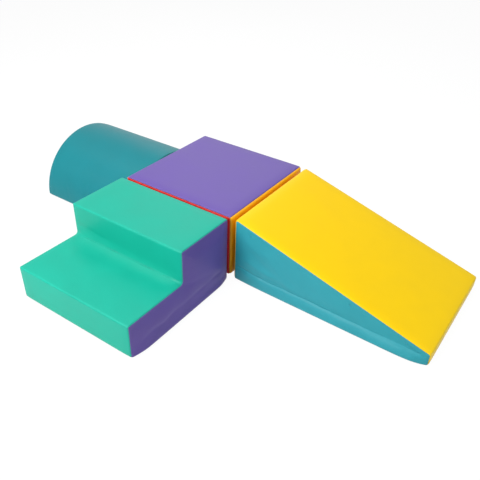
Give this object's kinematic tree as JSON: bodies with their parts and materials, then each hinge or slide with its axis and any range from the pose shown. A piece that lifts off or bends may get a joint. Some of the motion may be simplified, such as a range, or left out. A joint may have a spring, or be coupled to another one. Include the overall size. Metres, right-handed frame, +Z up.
{
  "type": "soft play foam climber",
  "caption": "Low square foam platform with foam steps, a ramp and a half round set against its sides, each block in a zipped, coloured leathercloth cover",
  "frame": {"origin": "centre of the platform block's underside, on the floor", "axes": "+Z up; the ramp runs down along +X, the half round lies along -X and the steps go down along -Y"},
  "size_m": [2.1669, 1.2579, 0.319],
  "materials": {
    "foam": "open-cell foam, hidden inside its cover",
    "purple_cloth": "PVC-coated leathercloth, satin, fine grain",
    "mint_cloth": "PVC-coated leathercloth, satin, fine grain",
    "yellow_cloth": "PVC-coated leathercloth, satin, fine grain",
    "teal_cloth": "PVC-coated leathercloth, satin, fine grain",
    "red_cloth": "PVC-coated leathercloth, satin, fine grain",
    "orange_cloth": "PVC-coated leathercloth, satin, fine grain",
    "base_cloth": "non-slip dotted base cloth, matt",
    "fastening_strip": "hook and loop pile, matt",
    "zip_tape": "woven tape with a nylon coil",
    "zip_metal": "die-cast zinc, lacquered"
  },
  "bodies": {
    "platform": {"platform_foam": "foam", "platform_base_cover": "base_cloth", "platform_ramp_side_cover": "orange_cloth", "platform_top_cover": "purple_cloth", "platform_half_round_side_cover": "orange_cloth", "platform_stairs_side_cover": "red_cloth", "platform_back_cover": "red_cloth", "platform_ramp_loop_strip": "fastening_strip", "platform_half_round_loop_strip": "fastening_strip", "platform_stairs_loop_strip": "fastening_strip", "platform_zip_tape": "zip_tape"},
    "platform_slider": {"platform_zip_slider": "zip_metal"},
    "platform_pull": {"platform_zip_pull": "zip_metal"},
    "stairs": {"stairs_foam": "foam", "stairs_base_cover": "base_cloth", "stairs_tread_cover": "mint_cloth", "stairs_back_cover": "mint_cloth", "stairs_right_side_cover": "purple_cloth", "stairs_left_side_cover": "purple_cloth", "stairs_hook_strip": "fastening_strip", "stairs_zip_tape": "zip_tape"},
    "stairs_slider": {"stairs_zip_slider": "zip_metal"},
    "stairs_pull": {"stairs_zip_pull": "zip_metal"},
    "ramp": {"ramp_foam": "foam", "ramp_base_cover": "base_cloth", "ramp_slope_cover": "yellow_cloth", "ramp_back_cover": "teal_cloth", "ramp_near_side_cover": "teal_cloth", "ramp_far_side_cover": "teal_cloth", "ramp_hook_strip": "fastening_strip", "ramp_zip_tape": "zip_tape"},
    "ramp_slider": {"ramp_zip_slider": "zip_metal"},
    "ramp_pull": {"ramp_zip_pull": "zip_metal"},
    "half_round": {"half_round_foam": "foam", "half_round_base_cover": "base_cloth", "half_round_arc_cover": "teal_cloth", "half_round_inner_end_cover": "teal_cloth", "half_round_outer_end_cover": "teal_cloth", "half_round_hook_strip": "fastening_strip", "half_round_zip_tape": "zip_tape"},
    "half_round_slider": {"half_round_zip_slider": "zip_metal"},
    "half_round_pull": {"half_round_zip_pull": "zip_metal"}
  },
  "joints": [
    {"name": "stairs_pull_apart", "type": "slide", "parent": "platform", "child": "stairs", "axis": [0, -1, 0], "range_m": [0, 0.3]},
    {"name": "ramp_pull_apart", "type": "slide", "parent": "platform", "child": "ramp", "axis": [1, 0, 0], "range_m": [0, 0.3]},
    {"name": "half_round_pull_apart", "type": "slide", "parent": "platform", "child": "half_round", "axis": [-1, 0, 0], "range_m": [0, 0.3]},
    {"name": "platform_zip_slide", "type": "slide", "parent": "platform", "child": "platform_slider", "axis": [-1, 0, 0], "range_m": [0, 0.4384]},
    {"name": "platform_pull_hinge", "type": "hinge", "parent": "platform_slider", "child": "platform_pull", "pos_m": [0.2192, 0.31365, 0.063], "axis": [0, 0, -1], "range_deg": [0, 170]},
    {"name": "stairs_zip_slide", "type": "slide", "parent": "stairs", "child": "stairs_slider", "axis": [0, -1, 0], "range_m": [0, 0.4384]},
    {"name": "stairs_pull_hinge", "type": "hinge", "parent": "stairs_slider", "child": "stairs_pull", "pos_m": [-0.32565, -0.3997, 0.063], "axis": [0, 0, -1], "range_deg": [0, 170]},
    {"name": "ramp_zip_slide", "type": "slide", "parent": "ramp", "child": "ramp_slider", "axis": [-1, 0, 0], "range_m": [0, 0.4984]},
    {"name": "ramp_pull_hinge", "type": "hinge", "parent": "ramp_slider", "child": "ramp_pull", "pos_m": [0.9061, 0.30765, 0.03816], "axis": [0, 0, -1], "range_deg": [0, 170]},
    {"name": "half_round_zip_slide", "type": "slide", "parent": "half_round", "child": "half_round_slider", "axis": [0, -1, 0], "range_m": [0, 0.3984]},
    {"name": "half_round_pull_hinge", "type": "hinge", "parent": "half_round_slider", "child": "half_round_pull", "pos_m": [-0.92865, 0.1992, 0.063], "axis": [0, 0, -1], "range_deg": [0, 170]}
  ]
}
